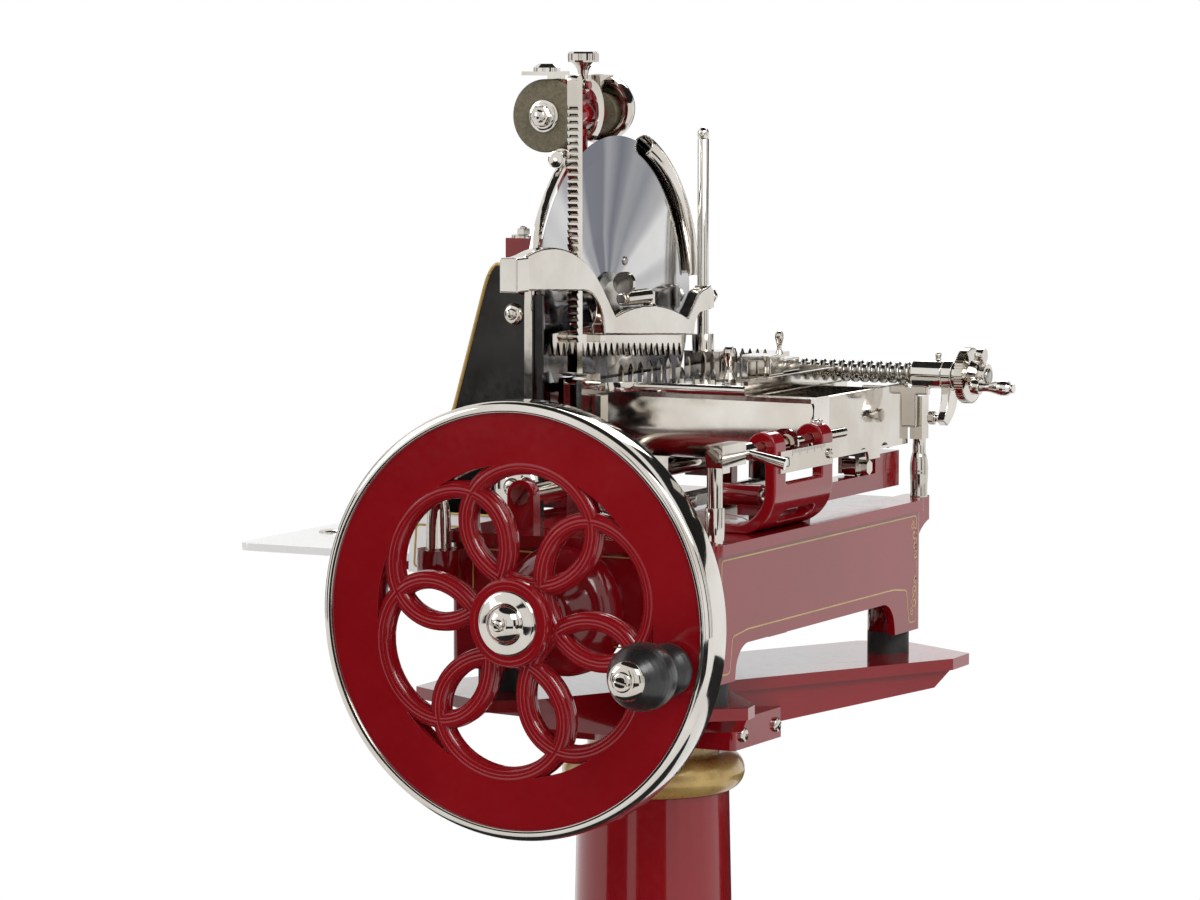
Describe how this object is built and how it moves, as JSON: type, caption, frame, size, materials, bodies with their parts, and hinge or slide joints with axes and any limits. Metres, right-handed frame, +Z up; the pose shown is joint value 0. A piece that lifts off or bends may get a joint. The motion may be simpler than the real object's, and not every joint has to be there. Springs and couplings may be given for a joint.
{
  "type": "hand crank meat slicer",
  "caption": "Hand-cranked meat slicer with spoked flywheel, sliding carriage, round knife and screw-fed meat clamp on a round cast pedestal.",
  "frame": {"origin": "on the floor, on the axis of the pedestal column", "axes": "+Z up, -Y towards the flywheel side where the operator stands, +X towards the feed crank; the knife lies in a plane across X"},
  "size_m": [0.751, 0.7526, 1.4205],
  "materials": {
    "red_enamel": "deep gloss enamel",
    "nickel": "polished nickel plate",
    "gilt": "satin gilt",
    "black_wood": "glossy black turned grip",
    "black_rubber": "matt rubber",
    "blade_steel": "ground and polished steel",
    "white_enamel": "white gloss enamel",
    "stone": "bonded abrasive",
    "steel": "machined steel"
  },
  "bodies": {
    "frame": {"pedestal_foot": "red_enamel", "pedestal_column": "red_enamel", "pedestal_ring": "gilt", "pedestal_head": "red_enamel", "rubber_feet": "black_rubber", "base": "red_enamel", "guide_rod": "nickel", "track": "red_enamel", "nickel_posts": "nickel", "knife_tower": "red_enamel", "knife_cover": "nickel", "apron": "white_enamel", "front_guard": "nickel", "rear_guard": "nickel", "sharpener_post": "nickel", "adjuster_bracket": "red_enamel", "scale_plate": "nickel"},
    "flywheel": {"flywheel_tyre": "nickel", "flywheel_web": "red_enamel", "hub_cap": "nickel", "main_shaft": "steel", "grip_spindle": "nickel"},
    "grip": {"crank_grip": "black_wood"},
    "crank": {"crank_disc": "steel"},
    "rod": {"connecting_rod": "red_enamel"},
    "knife": {"knife": "blade_steel", "knife_shaft": "nickel"},
    "sharpener": {"sharpener_body": "red_enamel", "hoods": "nickel"},
    "stones": {"stones": "stone", "stone_spindle": "nickel"},
    "knob": {"sharpener_knob": "nickel"},
    "sickle": {"trip_sickle": "nickel"},
    "carriage": {"carriage": "nickel", "tray": "nickel", "tray_grille": "nickel", "screw_housing": "nickel"},
    "roller": {"roller": "nickel"},
    "table": {"meat_table": "nickel", "rack_post": "nickel", "round_post": "nickel", "post_sockets": "nickel", "spikes": "nickel", "end_clamp": "nickel"},
    "lever_a": {"bottle_lever_a": "nickel"},
    "lever_b": {"bottle_lever_b": "nickel"},
    "feed": {"feed_screw": "steel", "ratchet_disc": "nickel", "feed_crank": "nickel"},
    "handle": {"feed_handle": "nickel"},
    "pawl": {"pawl_arm": "nickel"},
    "clamp": {"clamp_yoke": "nickel", "clamp_comb": "nickel"},
    "latch": {"clamp_latch": "nickel"},
    "adjuster": {"adjuster_rod": "nickel"},
    "pointer": {"pointer": "nickel"},
    "plate": {"receiving_plate": "white_enamel"}
  },
  "joints": [
    {"name": "wheel_turn", "type": "hinge", "parent": "frame", "child": "flywheel", "pos_m": [0, -0.281, 0.875], "axis": [0, 1, 0], "continuous": true},
    {"name": "grip_spin", "type": "hinge", "parent": "flywheel", "child": "grip", "pos_m": [0.17375, -0.345, 0.84123], "axis": [0, 1, 0], "continuous": true},
    {"name": "crank_turn", "type": "hinge", "parent": "frame", "child": "crank", "pos_m": [0, -0.038, 0.948], "axis": [0, 0, 1], "continuous": true},
    {"name": "knife_spin", "type": "hinge", "parent": "frame", "child": "knife", "pos_m": [-0.108, 0.12, 1.16], "axis": [1, 0, 0], "continuous": true},
    {"name": "carriage_slide", "type": "slide", "parent": "frame", "child": "carriage", "axis": [0, -1, 0], "range_m": [0, 0.196]},
    {"name": "rod_swing", "type": "hinge", "parent": "carriage", "child": "rod", "pos_m": [0, 0.265, 0.958], "axis": [0, 0, 1], "range_deg": [-28.5, 28.5]},
    {"name": "roller_spin", "type": "hinge", "parent": "carriage", "child": "roller", "pos_m": [0.128, 0.205, 0.9883], "axis": [1, 0, 0], "range_deg": [0, 1250]},
    {"name": "feed_turn", "type": "hinge", "parent": "carriage", "child": "feed", "pos_m": [0, 0.306, 1.08], "axis": [1, 0, 0], "range_deg": [0, 1963.64]},
    {"name": "handle_spin", "type": "hinge", "parent": "feed", "child": "handle", "pos_m": [0.259, 0.286, 1.07], "axis": [1, 0, 0], "continuous": true},
    {"name": "pawl_swing", "type": "hinge", "parent": "carriage", "child": "pawl", "pos_m": [0.195, 0.306, 1.08], "axis": [1, 0, 0], "range_deg": [-25, 20]},
    {"name": "table_feed", "type": "slide", "parent": "carriage", "child": "table", "axis": [1, 0, 0], "range_m": [0, 0.0605]},
    {"name": "lever_a_turn", "type": "hinge", "parent": "table", "child": "lever_a", "pos_m": [0.044, 0.084, 1.0915], "axis": [0, 0, 1], "range_deg": [-90, 90]},
    {"name": "lever_b_turn", "type": "hinge", "parent": "table", "child": "lever_b", "pos_m": [0.053, 0.184, 1.1115], "axis": [0, 0, 1], "range_deg": [-90, 90]},
    {"name": "clamp_slide", "type": "slide", "parent": "table", "child": "clamp", "axis": [0, 0, 1], "range_m": [-0.006, 0.1]},
    {"name": "latch_swing", "type": "hinge", "parent": "clamp", "child": "latch", "pos_m": [-0.08575, 0.123, 1.164], "axis": [0, 1, 0], "range_deg": [-20, 20]},
    {"name": "adjuster_turn", "type": "hinge", "parent": "frame", "child": "adjuster", "pos_m": [0.167, -0.1, 1.035], "axis": [0, 1, 0], "range_deg": [-60, 60]},
    {"name": "pointer_slide", "type": "slide", "parent": "frame", "child": "pointer", "axis": [0, 1, 0], "range_m": [-0.0106, 0.0106]},
    {"name": "sharpener_slide", "type": "slide", "parent": "frame", "child": "sharpener", "axis": [0, 0, 1], "range_m": [-0.004, 0.012]},
    {"name": "stone_spin", "type": "hinge", "parent": "sharpener", "child": "stones", "pos_m": [-0.15, 0.06, 1.355], "axis": [0, 1, 0], "continuous": true},
    {"name": "knob_turn", "type": "hinge", "parent": "sharpener", "child": "knob", "pos_m": [-0.15, 0.128, 1.4], "axis": [0, 0, 1], "range_deg": [-180, 180]},
    {"name": "sickle_swing", "type": "hinge", "parent": "sharpener", "child": "sickle", "pos_m": [-0.1285, 0.09, 1.386], "axis": [1, 0, 0], "range_deg": [-8, 15]},
    {"name": "plate_slide", "type": "slide", "parent": "frame", "child": "plate", "axis": [-1, 0, 0], "range_m": [0, 0.05]}
  ],
  "couplings": [
    {"joint": "crank_turn", "follows": "wheel_turn", "ratio": 0.5},
    {"joint": "knife_spin", "follows": "wheel_turn", "ratio": 3},
    {"joint": "roller_spin", "follows": "carriage_slide", "rad_per_m": 111.11},
    {"joint": "table_feed", "follows": "feed_turn", "m_per_rad": 0.0017507},
    {"joint": "pointer_slide", "follows": "adjuster_turn", "m_per_rad": 0.01}
  ]
}
